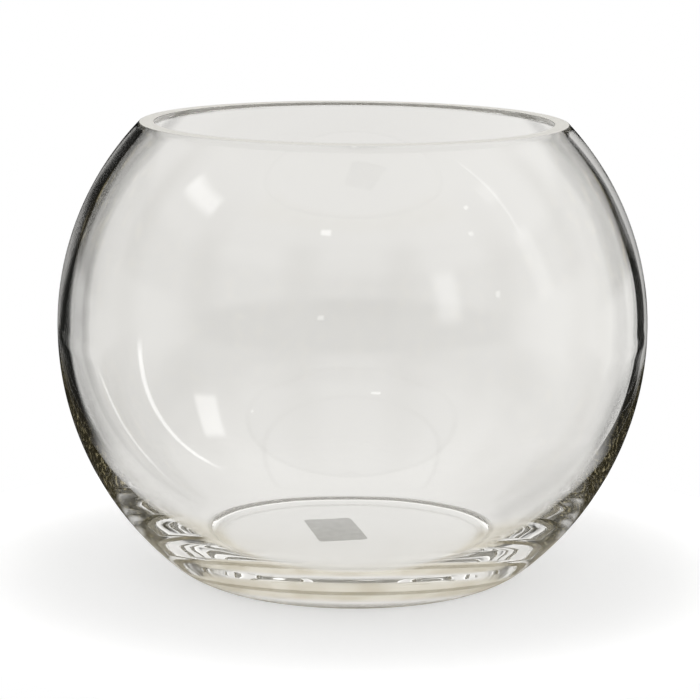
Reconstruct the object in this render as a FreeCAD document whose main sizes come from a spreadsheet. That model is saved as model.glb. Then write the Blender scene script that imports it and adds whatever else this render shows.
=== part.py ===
import FreeCAD, Part
import math
import os
import Sketcher

# Rose bowl vase, in millimetres. +Z is up, and the origin is on the axis at table level.
# The glass is one solid of revolution: a nearly round belly with a cut mouth, a rounded heel, a
# slightly dished floor and a ground foot ring. A very shallow hollow under the base holds a small
# paper label clear of the table.

SIZES = {
    "overall_height": 192.8,
    "belly_diameter": 250.0,
    "belly_height": 106.3,
    "mouth_diameter": 180.0,
    "flank_toe_diameter": 140.9,
    "heel_radius": 35.0,
    "foot_grind_depth": 2.2,
    "wall_thickness": 4.5,
    "rim_width": 6.1,
    "rim_arris": 0.4,
    "base_thickness": 7.5,
    "floor_toe_diameter": 119.6,
    "floor_round_radius": 20.0,
    "floor_dish_radius": 4000.0,
    "foot_ring_width": 2.5,
    "hollow_depth": 0.5,
    "hollow_rise_width": 5.0,
    "label_length": 36.0,
    "label_width": 22.0,
    "label_thickness": 0.2,
    "label_corner_radius": 2.0,
    "label_aside": -7.0,
    "label_back": 6.0,
    "cut_overrun": 5.0,
}
LABEL_TURN_DEGREES = 13.0
EDGE_TOLERANCE = 1e-6

doc = FreeCAD.newDocument("rose_bowl_vase")
sheet = doc.addObject("Spreadsheet::Sheet", "sizes")
for row, (alias, value) in enumerate(SIZES.items(), start=1):
    sheet.set(f"A{row}", alias)
    sheet.set(f"B{row}", str(value))
    sheet.setAlias(f"B{row}", alias)
doc.recompute()


def size(alias):
    """Return one size of the sheet as a number."""
    return float(sheet.get(alias))


def point(across, up):
    """Return a point of a sketch."""
    return FreeCAD.Vector(across, up, 0)


def new_body(name):
    """Return a new body whose label names its file."""
    body = doc.addObject("PartDesign::Body", name)
    body.Label = name
    return body


def new_sketch(body, name, role):
    """Return a sketch attached to one of its own body's origin planes."""
    plane = [item for item in body.Origin.OriginFeatures if item.Role == role][0]
    sketch = body.newObject("Sketcher::SketchObject", name)
    sketch.AttachmentSupport = [(plane, "")]
    sketch.MapMode = "FlatFace"
    return sketch


def add_line(sketch, first, last):
    """Add a straight line and return its number."""
    return sketch.addGeometry(Part.LineSegment(point(*first), point(*last)), False)


def add_arc(sketch, centre, start, end):
    """Add an arc that runs anticlockwise from start to end, and return its number."""
    radius = math.dist(centre, start)
    first = math.atan2(start[1] - centre[1], start[0] - centre[0])
    last = math.atan2(end[1] - centre[1], end[0] - centre[0])
    circle = Part.Circle(point(*centre), FreeCAD.Vector(0, 0, 1), radius)
    return sketch.addGeometry(Part.ArcOfCircle(circle, first, last), False)


def join_ends(sketch, pairs):
    """Make ends coincide: each pair is (line, end, line, end), with end 1 first and 2 last."""
    for pair in pairs:
        sketch.addConstraint(Sketcher.Constraint("Coincident", *pair))


def bind(sketch, kind, places, formula):
    """Add a dimension and bind it to the sheet."""
    value = sketch.evalExpression(formula)
    number = sketch.addConstraint(Sketcher.Constraint(kind, *places, float(value)))
    sketch.setExpression(f"Constraints[{number}]", formula)


def side_arc_radius(inset, rise):
    """Radius of an arc that leaves the belly upright and comes in by inset over rise."""
    return (inset ** 2 + rise ** 2) / (2 * inset)


def round_at_height(side_centre, side_radius, round_radius, height):
    """Centre, at a given height, of a round that touches the inside of a side arc."""
    reach = side_radius - round_radius
    drop = side_centre[1] - height
    return (side_centre[0] + math.sqrt(reach ** 2 - drop ** 2), height)


def round_between(first_centre, first_radius, second_centre, second_radius, round_radius):
    """Centre of a round that touches the inside of two arcs, on the side away from the axis."""
    first_reach = first_radius - round_radius
    second_reach = second_radius - round_radius
    apart = math.dist(first_centre, second_centre)
    along = (first_reach ** 2 - second_reach ** 2 + apart ** 2) / (2 * apart)
    aside = math.sqrt(first_reach ** 2 - along ** 2)
    way = [(last - first) / apart for first, last in zip(first_centre, second_centre)]
    middle = [start + along * step for start, step in zip(first_centre, way)]
    sides = [(middle[0] - turn * aside * way[1], middle[1] + turn * aside * way[0])
             for turn in (1, -1)]
    return max(sides)


def touch_point(arc_centre, arc_radius, centre):
    """Point where a round with this centre touches the inside of an arc."""
    share = arc_radius / math.dist(arc_centre, centre)
    across = arc_centre[0] + share * (centre[0] - arc_centre[0])
    up = arc_centre[1] + share * (centre[1] - arc_centre[1])
    return (across, up)


def draw_outside(body):
    """Sketch the outer outline, from the axis at the foot to the axis at the mouth."""
    sketch = new_sketch(body, "outside_outline", "XZ_Plane")
    top = size("overall_height")
    belly = (size("belly_diameter") / 2, size("belly_height"))
    mouth = (size("mouth_diameter") / 2, top)
    toe = (size("flank_toe_diameter") / 2, 0)
    heel_radius = size("heel_radius")

    shoulder_radius = side_arc_radius(belly[0] - mouth[0], top - belly[1])
    shoulder_centre = (belly[0] - shoulder_radius, belly[1])
    flank_radius = side_arc_radius(belly[0] - toe[0], belly[1])
    flank_centre = (belly[0] - flank_radius, belly[1])
    heel_height = heel_radius - size("foot_grind_depth")
    heel_centre = round_at_height(flank_centre, flank_radius, heel_radius, heel_height)
    heel_end = touch_point(flank_centre, flank_radius, heel_centre)
    foot = (heel_centre[0] + math.sqrt(heel_radius ** 2 - heel_height ** 2), 0)

    foot_line = add_line(sketch, (0, 0), foot)
    heel = add_arc(sketch, heel_centre, foot, heel_end)
    flank = add_arc(sketch, flank_centre, heel_end, belly)
    shoulder = add_arc(sketch, shoulder_centre, belly, mouth)
    mouth_line = add_line(sketch, mouth, (0, top))
    axis_line = add_line(sketch, (0, top), (0, 0))
    toe_mark = sketch.addGeometry(Part.Point(point(*toe)), True)

    join_ends(sketch, [
        (foot_line, 1, -1, 1),
        (foot_line, 2, heel, 1),
        (flank, 2, shoulder, 1),
        (shoulder, 2, mouth_line, 1),
        (mouth_line, 2, axis_line, 1),
        (axis_line, 2, foot_line, 1),
    ])
    sketch.addConstraint(Sketcher.Constraint("Tangent", heel, 2, flank, 1))
    sketch.addConstraint(Sketcher.Constraint("Horizontal", foot_line))
    sketch.addConstraint(Sketcher.Constraint("Horizontal", mouth_line))
    sketch.addConstraint(Sketcher.Constraint("Vertical", axis_line))
    sketch.addConstraint(Sketcher.Constraint("Horizontal", flank, 3, flank, 2))
    sketch.addConstraint(Sketcher.Constraint("Horizontal", shoulder, 3, shoulder, 1))
    sketch.addConstraint(Sketcher.Constraint("PointOnObject", toe_mark, 1, -1))
    sketch.addConstraint(Sketcher.Constraint("PointOnObject", toe_mark, 1, flank))
    bind(sketch, "DistanceX", (-1, 1, toe_mark, 1), "sizes.flank_toe_diameter / 2")
    bind(sketch, "DistanceX", (-1, 1, flank, 2), "sizes.belly_diameter / 2")
    bind(sketch, "DistanceY", (-1, 1, flank, 2), "sizes.belly_height")
    bind(sketch, "DistanceX", (-1, 1, shoulder, 2), "sizes.mouth_diameter / 2")
    bind(sketch, "DistanceY", (-1, 1, shoulder, 2), "sizes.overall_height")
    bind(sketch, "Radius", (heel,), "sizes.heel_radius")
    bind(sketch, "DistanceY", (-1, 1, heel, 3), "sizes.heel_radius - sizes.foot_grind_depth")
    measure = sketch.addConstraint(Sketcher.Constraint("DistanceX", -1, 1, heel, 1, foot[0]))
    sketch.setDriving(measure, False)
    sketch.renameConstraint(measure, "foot_radius")
    return sketch


def draw_inside(body):
    """Sketch the outline of the space inside, which runs on above the rim."""
    sketch = new_sketch(body, "inside_outline", "XZ_Plane")
    top = size("overall_height")
    above = top + size("cut_overrun")
    floor = size("base_thickness")
    belly = (size("belly_diameter") / 2 - size("wall_thickness"), size("belly_height"))
    rim = (size("mouth_diameter") / 2 - size("rim_width"), top)
    toe = (size("floor_toe_diameter") / 2, floor)
    round_radius = size("floor_round_radius")
    dish_radius = size("floor_dish_radius")

    shoulder_radius = side_arc_radius(belly[0] - rim[0], top - belly[1])
    shoulder_centre = (belly[0] - shoulder_radius, belly[1])
    flank_radius = side_arc_radius(belly[0] - toe[0], belly[1] - floor)
    flank_centre = (belly[0] - flank_radius, belly[1])
    dish_centre = (0, floor + dish_radius)
    centre = round_between(dish_centre, dish_radius, flank_centre, flank_radius, round_radius)
    dish_end = touch_point(dish_centre, dish_radius, centre)
    round_end = touch_point(flank_centre, flank_radius, centre)

    dish = add_arc(sketch, dish_centre, (0, floor), dish_end)
    floor_round = add_arc(sketch, centre, dish_end, round_end)
    flank = add_arc(sketch, flank_centre, round_end, belly)
    shoulder = add_arc(sketch, shoulder_centre, belly, rim)
    run_out = add_line(sketch, rim, (rim[0], above))
    top_line = add_line(sketch, (rim[0], above), (0, above))
    axis_line = add_line(sketch, (0, above), (0, floor))
    toe_mark = sketch.addGeometry(Part.Point(point(*toe)), True)

    join_ends(sketch, [
        (flank, 2, shoulder, 1),
        (shoulder, 2, run_out, 1),
        (run_out, 2, top_line, 1),
        (top_line, 2, axis_line, 1),
        (axis_line, 2, dish, 1),
    ])
    sketch.addConstraint(Sketcher.Constraint("Tangent", dish, 2, floor_round, 1))
    sketch.addConstraint(Sketcher.Constraint("Tangent", floor_round, 2, flank, 1))
    sketch.addConstraint(Sketcher.Constraint("Vertical", run_out))
    sketch.addConstraint(Sketcher.Constraint("Horizontal", top_line))
    sketch.addConstraint(Sketcher.Constraint("PointOnObject", dish, 1, -2))
    sketch.addConstraint(Sketcher.Constraint("PointOnObject", dish, 3, -2))
    sketch.addConstraint(Sketcher.Constraint("PointOnObject", top_line, 2, -2))
    sketch.addConstraint(Sketcher.Constraint("Horizontal", flank, 3, flank, 2))
    sketch.addConstraint(Sketcher.Constraint("Horizontal", shoulder, 3, shoulder, 1))
    sketch.addConstraint(Sketcher.Constraint("Horizontal", toe_mark, 1, dish, 1))
    sketch.addConstraint(Sketcher.Constraint("PointOnObject", toe_mark, 1, flank))
    bind(sketch, "DistanceX", (-1, 1, toe_mark, 1), "sizes.floor_toe_diameter / 2")
    bind(sketch, "DistanceY", (-1, 1, dish, 1), "sizes.base_thickness")
    bind(sketch, "DistanceX", (-1, 1, flank, 2), "sizes.belly_diameter / 2 - sizes.wall_thickness")
    bind(sketch, "DistanceY", (-1, 1, flank, 2), "sizes.belly_height")
    bind(sketch, "DistanceX", (-1, 1, shoulder, 2), "sizes.mouth_diameter / 2 - sizes.rim_width")
    bind(sketch, "DistanceY", (-1, 1, shoulder, 2), "sizes.overall_height")
    bind(sketch, "DistanceY", (-1, 1, run_out, 2), "sizes.overall_height + sizes.cut_overrun")
    bind(sketch, "Radius", (dish,), "sizes.floor_dish_radius")
    bind(sketch, "Radius", (floor_round,), "sizes.floor_round_radius")
    return sketch


def draw_hollow(body, foot_radius):
    """Sketch the outline of the shallow hollow under the base, inside the foot ring."""
    sketch = new_sketch(body, "hollow_outline", "XZ_Plane")
    below = -size("cut_overrun")
    depth = size("hollow_depth")
    rise = size("hollow_rise_width")
    edge = foot_radius - size("foot_ring_width")
    crown = edge - rise
    radius = (rise ** 2 + depth ** 2) / (2 * depth)

    bottom = add_line(sketch, (0, below), (edge, below))
    side = add_line(sketch, (edge, below), (edge, 0))
    slope = add_arc(sketch, (crown, depth - radius), (edge, 0), (crown, depth))
    ceiling = add_line(sketch, (crown, depth), (0, depth))
    axis_line = add_line(sketch, (0, depth), (0, below))

    join_ends(sketch, [
        (bottom, 2, side, 1),
        (side, 2, slope, 1),
        (ceiling, 2, axis_line, 1),
        (axis_line, 2, bottom, 1),
    ])
    sketch.addConstraint(Sketcher.Constraint("Tangent", slope, 2, ceiling, 1))
    sketch.addConstraint(Sketcher.Constraint("Horizontal", bottom))
    sketch.addConstraint(Sketcher.Constraint("Vertical", side))
    sketch.addConstraint(Sketcher.Constraint("Horizontal", ceiling))
    sketch.addConstraint(Sketcher.Constraint("PointOnObject", bottom, 1, -2))
    sketch.addConstraint(Sketcher.Constraint("PointOnObject", ceiling, 2, -2))
    sketch.addConstraint(Sketcher.Constraint("PointOnObject", side, 2, -1))
    bind(sketch, "DistanceX", (-1, 1, side, 2),
         "outside_outline.Constraints.foot_radius - sizes.foot_ring_width * 1 mm")
    bind(sketch, "DistanceY", (bottom, 1, -1, 1), "sizes.cut_overrun")
    bind(sketch, "DistanceY", (-1, 1, ceiling, 2), "sizes.hollow_depth")
    bind(sketch, "DistanceX", (slope, 2, slope, 1), "sizes.hollow_rise_width")
    return sketch


def turn(body, kind, name, sketch):
    """Turn a sketch a full circle about the axis, as a solid or as a cut."""
    feature = body.newObject(kind, name)
    feature.Profile = sketch
    feature.ReferenceAxis = (sketch, ["V_Axis"])
    feature.Angle = 360
    doc.recompute()
    return feature


def rim_edges(shape):
    """Names of the two round edges of the cut rim."""
    top = size("overall_height")
    names = []
    for number, edge in enumerate(shape.Edges, start=1):
        box = edge.BoundBox
        if abs(box.ZMin - top) < EDGE_TOLERANCE and abs(box.ZMax - top) < EDGE_TOLERANCE:
            names.append(f"Edge{number}")
    return names


def make_bowl():
    """The glass: a turned solid, hollowed from the mouth and from below, its rim arrised."""
    body = new_body("glass_bowl")
    outside = draw_outside(body)
    doc.recompute()
    foot_radius = outside.getDatum("foot_radius").Value
    solid = turn(body, "PartDesign::Revolution", "outside", outside)
    cavity = turn(body, "PartDesign::Groove", "cavity", draw_inside(body))
    hollow = turn(body, "PartDesign::Groove", "foot_hollow", draw_hollow(body, foot_radius))
    if not solid.Shape.Volume > cavity.Shape.Volume > hollow.Shape.Volume:
        raise RuntimeError("a cut of the bowl removed nothing")
    arris = body.newObject("PartDesign::Chamfer", "rim_arris")
    arris.Base = (hollow, rim_edges(hollow.Shape))
    arris.setExpression("Size", "sizes.rim_arris")
    doc.recompute()
    if not hollow.Shape.Volume > arris.Shape.Volume:
        raise RuntimeError("the rim was not arrised")
    return body


def make_label():
    """The paper label: a thin plate with rounded corners, stuck flat under the base."""
    body = new_body("base_label")
    sketch = new_sketch(body, "label_outline", "XY_Plane")
    half_length = size("label_length") / 2
    half_width = size("label_width") / 2
    corners = [
        (-half_width, -half_length),
        (half_width, -half_length),
        (half_width, half_length),
        (-half_width, half_length),
    ]
    sides = [add_line(sketch, corners[side], corners[(side + 1) % 4]) for side in range(4)]
    join_ends(sketch, [(sides[side], 2, sides[(side + 1) % 4], 1) for side in range(4)])
    for side in (0, 2):
        sketch.addConstraint(Sketcher.Constraint("Horizontal", sides[side]))
    for side in (1, 3):
        sketch.addConstraint(Sketcher.Constraint("Vertical", sides[side]))
    sketch.addConstraint(Sketcher.Constraint("Symmetric", sides[0], 1, sides[2], 1, -1, 1))
    bind(sketch, "DistanceX", (sides[0], 1, sides[0], 2), "sizes.label_width")
    bind(sketch, "DistanceY", (sides[1], 1, sides[1], 2), "sizes.label_length")
    paper = body.newObject("PartDesign::Pad", "paper")
    paper.Profile = sketch
    paper.setExpression("Length", "sizes.label_thickness")
    doc.recompute()

    upright = []
    for number, edge in enumerate(paper.Shape.Edges, start=1):
        if abs(edge.BoundBox.ZLength - size("label_thickness")) < EDGE_TOLERANCE:
            upright.append(f"Edge{number}")
    rounding = body.newObject("PartDesign::Fillet", "corners")
    rounding.Base = (paper, upright)
    rounding.setExpression("Radius", "sizes.label_corner_radius")

    turned = FreeCAD.Rotation(FreeCAD.Vector(0, 0, 1), LABEL_TURN_DEGREES)
    body.Placement = FreeCAD.Placement(FreeCAD.Vector(0, 0, 0), turned)
    body.setExpression("Placement.Base.x", "sizes.label_aside")
    body.setExpression("Placement.Base.y", "sizes.label_back")
    body.setExpression("Placement.Base.z", "sizes.hollow_depth - sizes.label_thickness")
    doc.recompute()
    return body


def check(bodies):
    """Stop if any object failed, a sketch is loose, or a sub-part isn't one valid solid."""
    for item in doc.Objects:
        if "Invalid" in item.State or "Error" in item.State:
            raise RuntimeError(f"{item.Name} failed: {item.State}")
        if item.TypeId == "Sketcher::SketchObject" and not item.FullyConstrained:
            raise RuntimeError(f"{item.Name} isn't fully constrained")
    for body in bodies:
        shape = body.Shape
        if shape.isNull() or not shape.isValid() or len(shape.Solids) != 1:
            raise RuntimeError(f"{body.Label} isn't one valid solid")


bodies = [make_bowl(), make_label()]
check(bodies)
os.makedirs("parts", exist_ok=True)
for body in bodies:
    body.Shape.exportStep(f"parts/{body.Label}.step")
    box = body.Shape.BoundBox
    print(f"{body.Label}: {body.Shape.Volume:.1f} mm3, {box.XLength:.2f} x {box.YLength:.2f}"
          f" x {box.ZLength:.2f} mm, from z {box.ZMin:.2f}")
outside = doc.getObject("outside_outline")
print(f"foot ring diameter {2 * outside.getDatum('foot_radius').Value:.2f} mm")
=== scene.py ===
import logging
import math
from dataclasses import dataclass, field
from enum import Enum
from typing import Any

import bmesh
import bpy
from mathutils import Matrix, Vector


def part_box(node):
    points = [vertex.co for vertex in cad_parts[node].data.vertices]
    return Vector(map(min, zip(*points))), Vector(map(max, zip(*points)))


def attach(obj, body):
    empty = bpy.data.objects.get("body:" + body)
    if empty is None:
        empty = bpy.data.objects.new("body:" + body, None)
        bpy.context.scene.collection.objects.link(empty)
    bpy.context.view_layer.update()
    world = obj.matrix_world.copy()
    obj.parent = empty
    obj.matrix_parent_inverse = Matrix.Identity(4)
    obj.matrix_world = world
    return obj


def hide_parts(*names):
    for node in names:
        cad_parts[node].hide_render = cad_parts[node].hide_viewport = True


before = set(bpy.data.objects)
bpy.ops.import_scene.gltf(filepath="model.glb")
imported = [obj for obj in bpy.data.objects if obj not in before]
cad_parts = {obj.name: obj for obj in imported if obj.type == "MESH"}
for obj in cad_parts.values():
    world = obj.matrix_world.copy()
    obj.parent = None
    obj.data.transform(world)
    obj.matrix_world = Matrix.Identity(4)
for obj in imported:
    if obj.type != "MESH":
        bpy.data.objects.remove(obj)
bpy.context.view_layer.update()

PHOTO_SIDE_PX = 700
MM = 0.001
FULL_TURN = 360.0
LIGHT_BOUNCES = 64
LOG = logging.getLogger("rose_bowl")

Point = tuple[float, float]
Range = tuple[float, float]
Colour = tuple[float, float, float, float]


class Slot(Enum):
    """The record's material slots."""

    GLASS = "clear_glass"
    PAPER = "label_paper"


class Blend(Enum):
    """How two colours are put together."""

    PLAIN = "MIX"
    PLUS = "ADD"


def grey(level: float) -> Colour:
    """Return an even grey."""
    return (level, level, level, 1.0)


class Value:
    """One output socket that can be used in a Python expression."""

    def __init__(self, wiring: "Wiring", socket: bpy.types.NodeSocket) -> None:
        """Keep the socket and the tree it belongs to."""
        self.wiring = wiring
        self.socket = socket

    def _maths(self, operation: str, *operands: Any) -> "Value":
        """Add one Math node whose inputs are values or numbers, and return its output."""
        settings = {"operation": operation}
        return self.wiring.add("ShaderNodeMath", settings, dict(enumerate(operands)))

    def __add__(self, other: Any) -> "Value":
        """Return the sum."""
        return self._maths("ADD", self, other)

    def __radd__(self, other: Any) -> "Value":
        """Return the sum."""
        return self._maths("ADD", other, self)

    def __sub__(self, other: Any) -> "Value":
        """Return the difference."""
        return self._maths("SUBTRACT", self, other)

    def __rsub__(self, other: Any) -> "Value":
        """Return the difference, the other way round."""
        return self._maths("SUBTRACT", other, self)

    def __mul__(self, other: Any) -> "Value":
        """Return the product."""
        return self._maths("MULTIPLY", self, other)

    def __rmul__(self, other: Any) -> "Value":
        """Return the product."""
        return self._maths("MULTIPLY", other, self)

    def __abs__(self) -> "Value":
        """Return the size without its sign."""
        return self._maths("ABSOLUTE", self)

    def folded(self, period: float) -> "Value":
        """Return the distance to the nearest whole multiple of a period."""
        return self._maths("PINGPONG", self, period / 2)

    def larger(self, other: Any) -> "Value":
        """Return the larger of two values."""
        return self._maths("MAXIMUM", self, other)

    def angle_from(self, other: "Value") -> "Value":
        """Return the angle, in degrees, whose tangent is this over the other."""
        return self._maths("ARCTAN2", self, other) * math.degrees(1.0)

    def arcsine(self) -> "Value":
        """Return the angle, in degrees, whose sine this is."""
        return self._maths("ARCSINE", self) * math.degrees(1.0)

    def step(self, low: float, high: float, first: float = 0.0, last: float = 1.0) -> "Value":
        """Return a smooth step.

        Args:
            low: Where the step starts.
            high: Where it ends.
            first: Its value below low.
            last: Its value above high.

        Returns:
            The stepped value.
        """
        settings = {"interpolation_type": "SMOOTHSTEP"}
        sockets = {"Value": self, 1: low, 2: high, 3: first, 4: last}
        return self.wiring.add("ShaderNodeMapRange", settings, sockets)


class Wiring:
    """A node tree that is filled by expressions."""

    def __init__(self, tree: bpy.types.NodeTree) -> None:
        """Empty the tree and keep it."""
        self.tree = tree
        tree.nodes.clear()

    def node(self, kind: str, settings: dict[str, Any], sockets: dict[Any, Any]) -> bpy.types.Node:
        """Add a node.

        Args:
            kind: The node's type.
            settings: Its properties, which are set before its sockets.
            sockets: A value, number or colour for each input's name or number.

        Returns:
            The node.
        """
        made = self.tree.nodes.new(kind)
        for name, setting in settings.items():
            setattr(made, name, setting)
        for key, content in sockets.items():
            if isinstance(content, Value):
                self.tree.links.new(content.socket, made.inputs[key])
            else:
                made.inputs[key].default_value = content
        return made

    def add(
        self, kind: str, settings: dict[str, Any], sockets: dict[Any, Any], out: Any = 0
    ) -> Value:
        """Add a node and return one of its outputs.

        Args:
            kind: The node's type.
            settings: Its properties.
            sockets: A value, number or colour for each input.
            out: The output's name or number.

        Returns:
            That output.
        """
        return Value(self, self.node(kind, settings, sockets).outputs[out])

    def blend(self, share: Any, first: Any, second: Any, how: Blend = Blend.PLAIN) -> Value:
        """Mix two colours.

        Args:
            share: How much of the second colour there is.
            first: The first colour.
            second: The second colour.
            how: The way they are put together.

        Returns:
            The mixed colour.
        """
        settings = {"data_type": "RGBA", "blend_type": how.value}
        return self.add("ShaderNodeMix", settings, {0: share, 6: first, 7: second}, 2)

    def noise(self, place: Value, scale: float, detail: float = 3.0) -> Value:
        """Return soft noise over a place, from 0 to 1."""
        sockets = {"Vector": place, "Scale": scale, "Detail": detail}
        return self.add("ShaderNodeTexNoise", {}, sockets)

    def finish(self, shader: Value, kind: str = "ShaderNodeOutputMaterial") -> None:
        """Join a shader to the tree's output."""
        self.node(kind, {}, {"Surface": shader})


def arc_points(centre: Point, start: Point, end: Point, pitch: float) -> list[Point]:
    """Return points along an arc, its ends included.

    Args:
        centre: The arc's centre.
        start: Where it starts.
        end: Where it ends, the shorter way round.
        pitch: The greatest distance between points.

    Returns:
        The points in order.
    """
    radius = math.dist(centre, start)
    first = math.atan2(start[1] - centre[1], start[0] - centre[0])
    last = math.atan2(end[1] - centre[1], end[0] - centre[0])
    sweep = math.remainder(last - first, math.tau)
    steps = max(2, math.ceil(abs(sweep) * radius / pitch))
    angles = [first + sweep * step / steps for step in range(steps + 1)]
    return [(centre[0] + radius * math.cos(a), centre[1] + radius * math.sin(a)) for a in angles]


def line_points(start: Point, end: Point, pitch: float) -> list[Point]:
    """Return evenly spaced points along a line, its ends included.

    Args:
        start: Where the line starts.
        end: Where it ends.
        pitch: The greatest distance between points.

    Returns:
        The points in order.
    """
    steps = max(1, math.ceil(math.dist(start, end) / pitch))
    shares = [step / steps for step in range(steps + 1)]
    return [(start[0] + (end[0] - start[0]) * s, start[1] + (end[1] - start[1]) * s) for s in shares]


def point_beyond(start: Point, via: Point, distance: float) -> Point:
    """Find a point on the way from one point through another.

    Args:
        start: The first point.
        via: The point on the way.
        distance: How far from the start the wanted point is.

    Returns:
        The point at that distance.
    """
    share = distance / math.dist(start, via)
    across = start[0] + share * (via[0] - start[0])
    return (across, start[1] + share * (via[1] - start[1]))


def outer_meeting(first: Point, first_reach: float, second: Point, second_reach: float) -> Point:
    """Find the point farther out that lies at given distances from two points.

    Args:
        first: The first point.
        first_reach: The distance from it.
        second: The second point.
        second_reach: The distance from that one.

    Returns:
        The point with the greater distance from the axis.
    """
    apart = math.dist(first, second)
    along = (first_reach**2 - second_reach**2 + apart**2) / (2 * apart)
    aside = math.sqrt(first_reach**2 - along**2)
    way = ((second[0] - first[0]) / apart, (second[1] - first[1]) / apart)
    middle = (first[0] + along * way[0], first[1] + along * way[1])
    turns = [(middle[0] - s * aside * way[1], middle[1] + s * aside * way[0]) for s in (1, -1)]
    return max(turns)


@dataclass
class SideCurve:
    """A side that leaves the belly upright and comes in along one arc."""

    belly: Point
    toe: Point

    @property
    def radius(self) -> float:
        """Radius of the arc.

        Returns:
            The radius at which the arc starts upright at the belly and ends at the toe.
        """
        inset = self.belly[0] - self.toe[0]
        rise = self.belly[1] - self.toe[1]
        return (inset**2 + rise**2) / (2 * inset)

    @property
    def centre(self) -> Point:
        """Centre of the arc, level with the belly."""
        return (self.belly[0] - self.radius, self.belly[1])

    def round_centre(self, round_radius: float, height: float) -> Point:
        """Find the centre of a round that touches the inside of the side.

        Args:
            round_radius: The round's radius.
            height: The height of its centre.

        Returns:
            The centre.
        """
        reach = self.radius - round_radius
        drop = self.belly[1] - height
        return (self.centre[0] + math.sqrt(reach**2 - drop**2), height)

    def touch_point(self, centre: Point) -> Point:
        """Return the point where a round with this centre touches the side."""
        return point_beyond(self.centre, centre, self.radius)


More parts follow.
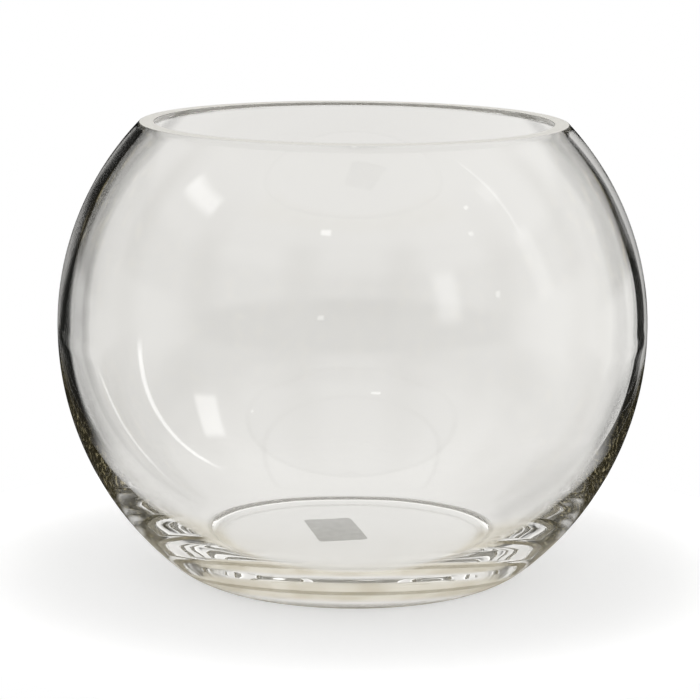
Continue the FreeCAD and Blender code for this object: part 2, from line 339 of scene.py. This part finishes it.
@dataclass
class GlassBowl:
    """The blown bowl: one turned piece of glass."""

    belly_height: float = 106.3 * MM
    mouth_radius: float = 90.0 * MM
    flank_toe_radius: float = 70.45 * MM
    heel_radius: float = 35.0 * MM
    foot_grind_depth: float = 2.2 * MM
    wall_thickness: float = 4.5 * MM
    rim_width: float = 6.1 * MM
    rim_arris: float = 0.4 * MM
    base_thickness: float = 7.5 * MM
    floor_toe_radius: float = 59.8 * MM
    floor_round_radius: float = 20.0 * MM
    floor_dish_radius: float = 4000.0 * MM
    foot_ring_width: float = 2.5 * MM
    hollow_depth: float = 0.5 * MM
    hollow_rise_width: float = 5.0 * MM
    pitch: float = 3.0 * MM
    segments: int = 360
    merge_distance: float = 0.01 * MM
    sharp_degrees: float = 25.0
    box: tuple[Vector, Vector] = field(default_factory=lambda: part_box("glass_bowl"))

    @property
    def top(self) -> float:
        """Height of the rim."""
        return self.box[1].z

    @property
    def belly_radius(self) -> float:
        """Radius of the belly."""
        return self.box[1].x

    @property
    def foot_radius(self) -> float:
        """Outer radius of the foot ring."""
        heel = self.heel_centre
        return heel[0] + math.sqrt(self.heel_radius**2 - heel[1] ** 2)

    @property
    def outer_flank(self) -> SideCurve:
        """The outside from the belly down."""
        return SideCurve((self.belly_radius, self.belly_height), (self.flank_toe_radius, 0.0))

    @property
    def heel_centre(self) -> Point:
        """Centre of the heel's round."""
        height = self.heel_radius - self.foot_grind_depth
        return self.outer_flank.round_centre(self.heel_radius, height)

    def outside(self) -> list[Point]:
        """Draw the outside.

        Returns:
            Its outline, from the foot ring up to the rim.
        """
        flank = self.outer_flank
        heel_end = flank.touch_point(self.heel_centre)
        shoulder = SideCurve(flank.belly, (self.mouth_radius, self.top))
        mouth = (self.mouth_radius + self.rim_arris / 2, self.top - self.rim_arris)
        points = arc_points(self.heel_centre, (self.foot_radius, 0.0), heel_end, self.pitch)
        points += arc_points(flank.centre, heel_end, flank.belly, self.pitch)[1:]
        points += arc_points(shoulder.centre, flank.belly, mouth, self.pitch)[1:]
        return points

    def rim(self) -> list[Point]:
        """Draw the cut rim.

        Returns:
            Its outline, outside to inside.
        """
        outer = self.mouth_radius - self.rim_arris
        inner = self.mouth_radius - self.rim_width + self.rim_arris
        return line_points((outer, self.top), (inner, self.top), self.pitch)

    def inside(self) -> list[Point]:
        """Draw the inside.

        Returns:
            Its outline, from the rim down to the middle of the floor.
        """
        floor = self.base_thickness
        belly = (self.belly_radius - self.wall_thickness, self.belly_height)
        rim = (self.mouth_radius - self.rim_width, self.top)
        shoulder = SideCurve(belly, rim)
        flank = SideCurve(belly, (self.floor_toe_radius, floor))
        dish = (0.0, floor + self.floor_dish_radius)
        inner_reach = self.floor_dish_radius - self.floor_round_radius
        outer_reach = flank.radius - self.floor_round_radius
        centre = outer_meeting(dish, inner_reach, flank.centre, outer_reach)
        round_start = flank.touch_point(centre)
        round_end = point_beyond(dish, centre, self.floor_dish_radius)
        lip = (rim[0] + self.rim_arris / 2, self.top - self.rim_arris)
        points = arc_points(shoulder.centre, lip, belly, self.pitch)
        points += arc_points(flank.centre, belly, round_start, self.pitch)[1:]
        points += arc_points(centre, round_start, round_end, self.pitch)[1:]
        points += arc_points(dish, round_end, (0.0, floor), self.pitch)[1:]
        return points

    def underside(self) -> list[Point]:
        """Draw the underside.

        Returns:
            Its outline, from the middle of the hollow to the foot ring.
        """
        depth = self.hollow_depth
        rise = self.hollow_rise_width
        edge = self.foot_radius - self.foot_ring_width
        crown = edge - rise
        radius = (rise**2 + depth**2) / (2 * depth)
        points = line_points((0.0, depth), (crown, depth), self.pitch)
        points += arc_points((crown, depth - radius), (crown, depth), (edge, 0.0), self.pitch)[1:]
        points += line_points((edge, 0.0), (self.foot_radius, 0.0), self.pitch)[1:-1]
        return points

    def build(self) -> bpy.types.Object:
        """Turn the outline round the axis.

        Returns:
            The bowl's object.
        """
        outline = self.underside() + self.outside() + self.rim() + self.inside()
        mesh = bmesh.new()
        rung = [mesh.verts.new((across, 0.0, up)) for across, up in outline]
        edges = [mesh.edges.new(pair) for pair in zip(rung, rung[1:])]
        bmesh.ops.spin(
            mesh,
            geom=rung + edges,
            cent=(0, 0, 0),
            axis=(0, 0, 1),
            angle=math.tau,
            steps=self.segments,
            use_merge=True,
        )
        bmesh.ops.remove_doubles(mesh, verts=mesh.verts, dist=self.merge_distance)
        bmesh.ops.recalc_face_normals(mesh, faces=mesh.faces)
        return finished_object("blown_bowl", mesh, self.sharp_degrees)


@dataclass
class BaseLabel:
    """The blank paper label under the base, with a hair of air between it and the glass."""

    width: float = 22.0 * MM
    length: float = 36.0 * MM
    corner_radius: float = 2.0 * MM
    corner_steps: int = 8
    turn_degrees: float = 13.0
    aside: float = -7.0 * MM
    back: float = 6.0 * MM
    air: float = 0.05 * MM
    sharp_degrees: float = 40.0
    box: tuple[Vector, Vector] = field(default_factory=lambda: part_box("base_label"))

    def build(self) -> bpy.types.Object:
        """Cut the paper and lay it under the base.

        Returns:
            The label's object.
        """
        bottom = self.box[0].z
        thickness = self.box[1].z - self.air - bottom
        turned = Matrix.Rotation(math.radians(self.turn_degrees), 3, "Z")
        mesh = bmesh.new()
        bmesh.ops.create_grid(mesh, x_segments=1, y_segments=1, size=0.5)
        bmesh.ops.scale(mesh, vec=(self.width, self.length, 1.0), verts=mesh.verts)
        bmesh.ops.bevel(
            mesh,
            geom=list(mesh.verts),
            offset=self.corner_radius,
            segments=self.corner_steps,
            profile=0.5,
            affect="VERTICES",
            material=-1,
        )
        raised = bmesh.ops.extrude_face_region(mesh, geom=list(mesh.faces), use_keep_orig=True)
        lid = [item for item in raised["geom"] if isinstance(item, bmesh.types.BMVert)]
        bmesh.ops.translate(mesh, verts=lid, vec=(0.0, 0.0, thickness))
        bmesh.ops.rotate(mesh, cent=(0.0, 0.0, 0.0), matrix=turned, verts=mesh.verts)
        bmesh.ops.translate(mesh, verts=mesh.verts, vec=(self.aside, self.back, bottom))
        bmesh.ops.recalc_face_normals(mesh, faces=mesh.faces)
        return finished_object("paper_label", mesh, self.sharp_degrees)


def finished_object(name: str, mesh: bmesh.types.BMesh, sharp_degrees: float) -> bpy.types.Object:
    """Turn a mesh into an object with smooth faces and sharp corners.

    Args:
        name: The piece's name.
        mesh: The mesh, which is freed.
        sharp_degrees: The angle from which an edge is sharp.

    Returns:
        The object, in the scene.
    """
    for face in mesh.faces:
        face.smooth = True
    for edge in mesh.edges:
        corner = edge.calc_face_angle(0.0)
        edge.smooth = corner < math.radians(sharp_degrees)
    data = bpy.data.meshes.new(name)
    mesh.to_mesh(data)
    mesh.free()
    made = bpy.data.objects.new(name, data)
    bpy.context.scene.collection.objects.link(made)
    return made


@dataclass(frozen=True)
class Span:
    """A range of angles or lengths with soft ends."""

    start: float
    end: float
    rise: float
    fall: float

    def share(self, value: Value) -> Value:
        """Return how far a value lies within the range, from 0 to 1."""
        rising = value.step(self.start, self.start + self.rise)
        return rising * value.step(self.end - self.fall, self.end, 1.0, 0.0)


@dataclass(frozen=True)
class BlownGlass:
    """Clear glass, faintly wavy from the blowing, ground at the rim and the foot ring."""

    index: float = 1.5
    tint: Colour = (0.985, 0.985, 0.98, 1.0)
    ground: Colour = (0.98, 0.96, 0.90, 1.0)
    ground_roughness: float = 0.6
    ground_clearness: float = 0.1
    ground_depth: float = 0.3 * MM
    foot_share: float = 0.35
    wave_scale: float = 22.0
    wave_detail: float = 1.0
    wave_height: float = 0.18 * MM
    grain_scale: float = 2500.0
    grain_detail: float = 2.0
    grain_range: Range = (0.3, 0.7)

    def material(self, top: float) -> bpy.types.Material:
        """Return the material.

        Args:
            top: The height of the rim.

        Returns:
            The material, which is ground at the rim and at the foot.
        """
        made = bpy.data.materials.new("blown_glass")
        made.use_nodes = True
        wiring = Wiring(made.node_tree)
        place = wiring.add("ShaderNodeTexCoord", {}, {}, "Object")
        height = wiring.add("ShaderNodeSeparateXYZ", {}, {0: place}, "Z")
        waves = wiring.noise(place, self.wave_scale, self.wave_detail)
        bump = {"Strength": 1.0, "Distance": self.wave_height, "Height": waves}
        clear = {
            "Base Color": self.tint,
            "Roughness": 0.0,
            "IOR": self.index,
            "Transmission Weight": 1.0,
            "Normal": wiring.add("ShaderNodeBump", {}, bump),
        }
        grain = wiring.noise(place, self.grain_scale, self.grain_detail)
        ground = {
            "Base Color": self.ground,
            "Roughness": grain.step(*self.grain_range, self.ground_roughness),
            "IOR": self.index,
            "Transmission Weight": self.ground_clearness,
        }
        rim = height.step(top - self.ground_depth, top - self.ground_depth / 2)
        foot = height.step(0.0, self.ground_depth / 2, self.foot_share, 0.0)
        sockets = {
            0: rim.larger(foot),
            1: wiring.add("ShaderNodeBsdfPrincipled", {}, clear),
            2: wiring.add("ShaderNodeBsdfPrincipled", {}, ground),
        }
        wiring.finish(wiring.add("ShaderNodeMixShader", {}, sockets))
        return made


@dataclass(frozen=True)
class LabelPaper:
    """Plain blank paper with a soft fibre and a faint mottle from its glue."""

    pale: Colour = (0.96, 0.96, 0.95, 1.0)
    shaded: Colour = (0.74, 0.74, 0.73, 1.0)
    roughness: float = 0.9
    mottle_scale: float = 240.0
    mottle_range: Range = (0.35, 0.65)
    mottle_share: float = 0.6
    fibre_scale: float = 1400.0
    fibre_range: Range = (0.4, 0.6)
    fibre_height: float = 0.03 * MM

    def material(self) -> bpy.types.Material:
        """Mix the paper's finish.

        Returns:
            The material.
        """
        made = bpy.data.materials.new("label_paper")
        made.use_nodes = True
        wiring = Wiring(made.node_tree)
        place = wiring.add("ShaderNodeTexCoord", {}, {}, "Object")
        fibre = wiring.noise(place, self.fibre_scale)
        bump = {"Strength": 1.0, "Distance": self.fibre_height, "Height": fibre}
        mottle = wiring.noise(place, self.mottle_scale).step(*self.mottle_range)
        shade = mottle * self.mottle_share
        shade = shade + fibre.step(*self.fibre_range) * (1.0 - self.mottle_share)
        sockets = {
            "Base Color": wiring.blend(shade, self.pale, self.shaded),
            "Roughness": self.roughness,
            "Normal": wiring.add("ShaderNodeBump", {}, bump),
        }
        wiring.finish(wiring.add("ShaderNodeBsdfPrincipled", {}, sockets))
        return made


@dataclass(frozen=True)
class Softbox:
    """A bright pane in the surroundings, placed by its angles in degrees."""

    turn: float
    lift: float
    half_width: float
    half_height: float
    strength: float
    softness: float = 1.5

    def glow(self, turn: Value, lift: Value) -> Value:
        """Measure the pane's light in one direction.

        Args:
            turn: The direction's turn to the left, in degrees.
            lift: The direction's lift, in degrees.

        Returns:
            The light, which fades at the pane's edges.
        """
        aside = (turn - self.turn).folded(FULL_TURN)
        above = abs(lift - self.lift)
        across = aside.step(self.half_width - self.softness, self.half_width, 1.0, 0.0)
        along = above.step(self.half_height - self.softness, self.half_height, 1.0, 0.0)
        return across * along * self.strength


@dataclass(frozen=True)
class Streak:
    """A thin bright line in the surroundings that falls from its start, in degrees."""

    turn: float
    lift: float
    drop: float
    half_width: float
    strength: float
    lean: float = 0.0
    bow: float = 0.0
    core_share: float = 0.3
    softness: float = 6.0

    def glow(self, turn: Value, lift: Value) -> Value:
        """Measure the line's light in one direction.

        Args:
            turn: The direction's turn to the left, in degrees.
            lift: The direction's lift, in degrees.

        Returns:
            The light, which fades at the line's sides and ends.
        """
        fallen = self.lift - lift
        middle = fallen * self.lean + fallen * fallen * fallen * self.bow + self.turn
        core = self.half_width * self.core_share
        across = abs(turn - middle).step(core, self.half_width, 1.0, 0.0)
        along = Span(0.0, self.drop, self.softness, self.softness).share(fallen)
        return across * along * self.strength


@dataclass(frozen=True)
class Surroundings:
    """What the glass shows: a pale backdrop, dark flags beside it, and soft windows.

    Turns and lifts are in degrees. A turn starts straight behind the bowl, and grows to the
    left unless the name says right.
    """

    # The backdrop, which is brighter on the right.
    backdrop: Colour = (0.80, 0.79, 0.77, 1.0)
    backdrop_right: Colour = (0.91, 0.90, 0.88, 1.0)
    brightening: float = 10.0

    # The dark flags beside it, which draw the bowl's edges.
    flag: Colour = (0.012, 0.012, 0.011, 1.0)
    left_flag: Span = Span(9.0, 38.0, 9.0, 3.0)
    right_flag: Span = Span(11.5, 28.0, 6.0, 7.0)
    right_height: Span = Span(-90.0, -11.0, 1.0, 7.0)
    right_line: Span = Span(20.5, 33.0, 2.5, 1.0)
    flag_height: Span = Span(-36.0, 24.0, 6.0, 12.0)

    # The fainter flags all round, which draw the edges of the other sides.
    far_flag: Colour = (0.14, 0.12, 0.07, 1.0)
    far_flags: Span = Span(9.0, 30.0, 13.0, 1.0)
    far_start: Span = Span(35.0, 200.0, 6.0, 1.0)
    far_period: float = 45.0
    far_share: float = 0.6

    # The brown mottle that the lower edges show, with a gap for a look from the side.
    mottle_dark: Colour = (0.026, 0.022, 0.010, 1.0)
    mottle_pale: Colour = (0.46, 0.40, 0.24, 1.0)
    mottle_side: Span = Span(24.0, 200.0, 8.0, 1.0)
    mottle_height: Span = Span(-3.0, 31.0, 4.0, 7.0)
    mottle_gap: Span = Span(62.0, 118.0, 14.0, 14.0)
    gap_height: Span = Span(-90.0, 13.0, 1.0, 6.0)
    mottle_scale: float = 16.0
    mottle_range: Range = (0.53, 0.69)

    # The bright ceiling, which fades in between two lifts.
    ceiling: Colour = (1.40, 1.39, 1.35, 1.0)
    ceiling_range: Range = (32.0, 58.0)

    # What only mirrored light shows.
    room: Colour = (0.70, 0.695, 0.68, 1.0)
    room_start: Span = Span(36.0, 200.0, 8.0, 1.0)
    mirrored_flags: Span = Span(1.0, 46.0, 4.0, 8.0)

    # The even light on matt surfaces.
    diffuse_level: float = 0.8

    # The bright lines and panes, which only mirrored light shows.
    streaks: tuple[Streak, ...] = (
        Streak(92.2, -3.0, 41.0, 1.7, 4.5, bow=0.0004),
        Streak(64.0, -12.5, 36.0, 1.3, 2.2, lean=0.62),
        Streak(-95.6, 60.0, 32.0, 1.2, 1.3, lean=-0.13),
    )
    windows: tuple[Softbox, ...] = (
        Softbox(94.4, 41.1, 14.0, 5.2, 3.0, 4.2),
        Softbox(166.5, 44.1, 3.0, 1.5, 4.0, 0.7),
        Softbox(167.8, 12.1, 1.5, 1.1, 3.0, 0.5),
        Softbox(121.5, -24.9, 6.4, 8.1, 3.5, 2.9),
        Softbox(-142.3, 18.0, 7.5, 11.5, 2.3, 6.0),
        Softbox(-100.2, 45.6, 6.9, 5.3, 0.9, 4.2),
        Softbox(-117.2, 45.7, 1.5, 0.8, 3.0, 0.4),
        Softbox(-122.9, 37.2, 1.4, 0.9, 2.5, 0.4),
        Softbox(-121.1, 15.6, 1.3, 1.3, 2.5, 0.6),
        Softbox(-98.7, 20.8, 6.8, 13.4, 1.2, 5.4),
        Softbox(-176.9, 22.0, 21.9, 16.9, -0.5, 13.5),
    )

    def seen_through(self, wiring: Wiring, place: Value, turn: Value, lift: Value) -> Value:
        """Return what the glass shows of the surroundings behind it.

        Args:
            wiring: The world's node tree.
            place: The direction as a vector.
            turn: The direction's turn to the left, in degrees.
            lift: The direction's lift, in degrees.

        Returns:
            The colour in that direction.
        """
        right = turn * -1.0
        low_right = self.right_flag.share(right) * self.right_height.share(lift)
        near = self.left_flag.share(turn).larger(low_right)
        near = near.larger(self.right_line.share(right)) * self.flag_height.share(lift)
        far = self.far_flags.share(turn.folded(self.far_period))
        far = far * self.far_start.share(abs(turn)) * self.far_share
        side = self.mottle_side.share(abs(turn)) * self.mottle_height.share(lift)
        side = side * (1.0 - self.mottle_gap.share(abs(turn)) * self.gap_height.share(lift))
        mottle = wiring.noise(place, self.mottle_scale).step(*self.mottle_range)
        brown = wiring.blend(mottle, self.mottle_dark, self.mottle_pale)
        bright = right.step(0.0, self.brightening)
        seen = wiring.blend(bright, self.backdrop, self.backdrop_right)
        seen = wiring.blend(far, seen, self.far_flag)
        seen = wiring.blend(near, seen, self.flag)
        seen = wiring.blend(side, seen, brown)
        return wiring.blend(lift.step(*self.ceiling_range), seen, self.ceiling)

    def build(self) -> None:
        """Wire the world."""
        world = bpy.data.worlds.new("studio")
        bpy.context.scene.world = world
        world.use_nodes = True
        wiring = Wiring(world.node_tree)
        place = wiring.add("ShaderNodeTexCoord", {}, {}, "Generated")
        split = wiring.node("ShaderNodeSeparateXYZ", {}, {0: place})
        across, along, up = (Value(wiring, split.outputs[axis]) for axis in range(3))
        turn = (across * -1.0).angle_from(along)
        lift = up.arcsine()
        path = wiring.node("ShaderNodeLightPath", {}, {})
        camera = Value(wiring, path.outputs["Is Camera Ray"])
        diffuse = Value(wiring, path.outputs["Is Diffuse Ray"])
        through = Value(wiring, path.outputs["Is Transmission Ray"])
        seen = self.seen_through(wiring, place, turn, lift)
        mirrored = wiring.blend(self.room_start.share(abs(turn)), seen, self.room)
        mirrored = wiring.blend(self.mirrored_flags.share(abs(turn)), mirrored, self.flag)
        for light in self.windows + self.streaks:
            mirrored = wiring.blend(1.0, mirrored, light.glow(turn, lift), Blend.PLUS)
        colour = wiring.blend(through, mirrored, seen)
        colour = wiring.blend(diffuse, colour, grey(self.diffuse_level))
        colour = wiring.blend(camera, colour, grey(1.0))
        shader = wiring.add("ShaderNodeBackground", {}, {"Color": colour, "Strength": 1.0})
        wiring.finish(shader, "ShaderNodeOutputWorld")


@dataclass
class PhotoCamera:
    """The camera of the photograph."""

    distance: float = 1187.5 * MM
    elevation_degrees: float = 10.59
    roll_degrees: float = 0.5
    aim_height: float = 94.95 * MM
    focal_px: float = 2783.0
    aside_px: float = 2.3
    sensor: float = 36.0

    def build(self) -> None:
        """Place the camera and make it the scene's."""
        data = bpy.data.cameras.new("photo_camera")
        data.sensor_width = self.sensor
        data.lens = self.sensor * self.focal_px / PHOTO_SIDE_PX
        data.shift_x = -self.aside_px / PHOTO_SIDE_PX
        made = bpy.data.objects.new("photo_camera", data)
        bpy.context.scene.collection.objects.link(made)
        lift = math.radians(self.elevation_degrees)
        back = Vector((0.0, -math.cos(lift), math.sin(lift)))
        made.location = Vector((0.0, 0.0, self.aim_height)) + back * self.distance
        tilt = Matrix.Rotation(math.radians(90.0) - lift, 4, "X")
        roll = Matrix.Rotation(math.radians(self.roll_degrees), 4, "Z")
        made.rotation_euler = (tilt @ roll).to_euler()
        bpy.context.scene.camera = made


@dataclass
class Floor:
    """The pale floor, which the glass shows as beige before its foot: there the floor glows with a
    painted shade that only rays through the glass see.
    """

    radius: float = 0.21
    segments: int = 128
    sharp_degrees: float = 30.0
    level: float = 0.8
    lift: float = 0.35
    # Painted light: towards its edge the camera sees the floor glow more, up to this, which washes
    # out its shade there.
    painted_edge_glow: float = 0.6
    edge_start: float = 0.12
    plain: Colour = (0.82, 0.81, 0.79, 1.0)
    # Painted shade: the mottled beige that the floor glows with before the foot, seen only through
    # the glass.
    painted_shade_beige: Colour = (0.77, 0.73, 0.63, 1.0)
    painted_shade_deep: Colour = (0.64, 0.59, 0.48, 1.0)
    # Painted reflection: the floor as the glass's reflections show it, a beige shade near the foot
    # and a dark olive farther out.
    mirrored: Colour = (0.66, 0.62, 0.51, 1.0)
    painted_reflection_far: Colour = (0.07, 0.06, 0.035, 1.0)
    painted_reflection_range: Range = (0.09, 0.115)
    # Where the painted shade lies: a ring round the foot, on its front half.
    painted_shade_ring: Span = Span(0.053, 0.115, 0.009, 0.025)
    fade: Span = Span(0.13, 1.0, 0.07, 0.1)
    painted_shade_front: Span = Span(-0.015, 1.0, 0.03, 0.1)
    painted_shade_scale: float = 55.0
    painted_shade_range: Range = (0.4, 0.65)

    def seen_through(self, wiring: Wiring, place: Value, away: Value) -> Value:
        """Return the colour that the glass shows on the floor, plain but with a painted beige shade
        before the foot.

        Args:
            wiring: The floor's node tree.
            place: The place on the floor.
            away: Its distance from the bowl's axis.

        Returns:
            The colour at that place.
        """
        along = wiring.add("ShaderNodeSeparateXYZ", {}, {0: place}, "Y")
        # Painted shade before the foot, mottled beige, which only rays through the glass see.
        painted_shade_share = self.painted_shade_ring.share(away) * self.painted_shade_front.share(along * -1.0)
        mottle = wiring.noise(place, self.painted_shade_scale).step(*self.painted_shade_range)
        painted_shade_beige = wiring.blend(mottle, self.painted_shade_beige, self.painted_shade_deep)
        return wiring.blend(painted_shade_share, self.plain, painted_shade_beige)

    def material(self) -> bpy.types.Material:
        """Mix the floor's finish, with its painted shade, painted reflection and painted glow.

        Returns:
            The material, which looks different through the glass and in the glass's reflections.
        """
        made = bpy.data.materials.new("floor")
        made.use_nodes = True
        wiring = Wiring(made.node_tree)
        path = wiring.node("ShaderNodeLightPath", {}, {})
        camera = Value(wiring, path.outputs["Is Camera Ray"])
        through = Value(wiring, path.outputs["Is Transmission Ray"])
        glossy = Value(wiring, path.outputs["Is Glossy Ray"])
        place = wiring.add("ShaderNodeTexCoord", {}, {}, "Object")
        away = wiring.add("ShaderNodeVectorMath", {"operation": "LENGTH"}, {0: place}, "Value")
        # The camera sees the floor glow, evenly near the bowl and more towards its edge: painted
        # light that melts the floor into the white background.
        level = away.step(self.edge_start, self.radius, self.lift, self.painted_edge_glow)
        lifted = wiring.blend(camera, grey(0.0), level)
        seen = self.seen_through(wiring, place, away)
        # Painted reflection: for glossy rays the floor is beige near the foot and dark olive farther
        # out.
        far = away.step(*self.painted_reflection_range)
        mirrored = wiring.blend(far, self.mirrored, self.painted_reflection_far)
        lit = wiring.blend(glossy, grey(self.level), mirrored)
        sockets = {
            "Base Color": wiring.blend(through, lit, grey(0.0)),
            "Roughness": 1.0,
            "Specular IOR Level": 0.0,
            "Emission Color": wiring.blend(through, lifted, seen),
            "Emission Strength": 1.0,
            "Alpha": 1.0 - through.larger(glossy) * self.fade.share(away),
        }
        wiring.finish(wiring.add("ShaderNodeBsdfPrincipled", {}, sockets))
        return made

    def build(self) -> None:
        """Make the floor and dress it."""
        mesh = bmesh.new()
        bmesh.ops.create_circle(mesh, cap_ends=True, radius=self.radius, segments=self.segments)
        made = finished_object("floor", mesh, self.sharp_degrees)
        made.data.materials.append(self.material())


def allow_bounces() -> None:
    """Let light bounce often enough to leave the thick glass of the base."""
    cycles = bpy.context.scene.cycles
    cycles.max_bounces = LIGHT_BOUNCES
    cycles.glossy_bounces = LIGHT_BOUNCES
    cycles.transmission_bounces = LIGHT_BOUNCES


def main() -> None:
    """Build the scene."""
    bpy.context.scene.view_settings.view_transform = "Standard"
    allow_bounces()
    PhotoCamera().build()
    Surroundings().build()
    Floor().build()
    sizes = GlassBowl()
    bowl = sizes.build()
    bowl.data.materials.append(BlownGlass().material(sizes.top))
    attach(bowl, "root")
    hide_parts("glass_bowl")
    LOG.info("%s: %d faces", bowl.name, len(bowl.data.polygons))
    label = BaseLabel().build()
    label.data.materials.append(LabelPaper().material())
    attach(label, "root")
    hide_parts("base_label")
    LOG.info("%s: %d faces", label.name, len(label.data.polygons))


if __name__ == "__main__":
    logging.basicConfig(level=logging.INFO, format="%(message)s")
    main()
